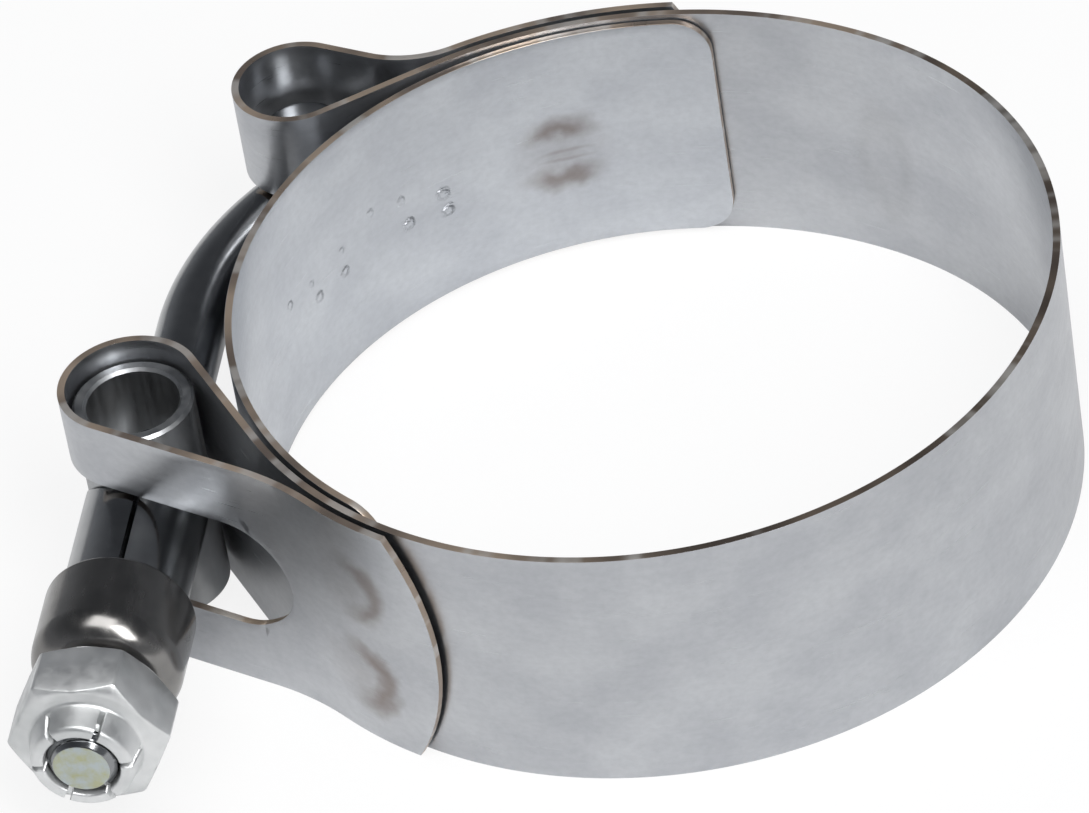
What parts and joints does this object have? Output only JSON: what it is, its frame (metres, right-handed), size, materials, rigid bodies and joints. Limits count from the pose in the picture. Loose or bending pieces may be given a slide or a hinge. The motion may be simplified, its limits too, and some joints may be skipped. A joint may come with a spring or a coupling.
{
  "type": "t_bolt_band_clamp",
  "caption": "Stainless T-bolt band clamp for an intake manifold hose, with a bent bolt, trunnion, thimble and zinc-plated lock nut, lying on the edge of its band.",
  "frame": {"origin": "On the axis of the band's ring, at half the width of the band.", "axes": "+Z along the axis of the ring, upwards as the clamp lies on its edge; the bolt runs along -Y; +X from the gap towards the closed side of the ring."},
  "size_m": [0.0662, 0.0661, 0.019],
  "materials": {
    "strap_stainless": "fine rolled sheet, satin, slightly blue",
    "turned_stainless": "polished, dark reflections",
    "zinc_plate": "bright zinc plate, semi-gloss"
  },
  "bodies": {
    "clamp_band": {"band": "strap_stainless", "bridge": "strap_stainless"},
    "bolt_group": {"trunnion": "turned_stainless", "t_bolt": "turned_stainless"},
    "thimble_group": {"thimble": "turned_stainless", "spacer_sleeve": "turned_stainless"},
    "nut": {"lock_nut": "zinc_plate"}
  },
  "joints": [
    {"name": "trunnion_swivel", "type": "hinge", "parent": "clamp_band", "child": "bolt_group", "pos_m": [-0.0323, -0.01062, 0], "axis": [0, 0, 1], "range_deg": [-1, 1]},
    {"name": "thimble_slide", "type": "slide", "parent": "bolt_group", "child": "thimble_group", "axis": [0, -1, 0], "range_m": [0, 0.00476]},
    {"name": "nut_turn", "type": "hinge", "parent": "thimble_group", "child": "nut", "pos_m": [-0.0323, -0.03292, 0], "axis": [0, -1, 0], "range_deg": [0, 2160]}
  ],
  "couplings": [
    {"joint": "nut_turn", "follows": "thimble_slide", "rad_per_m": 7915.8}
  ]
}
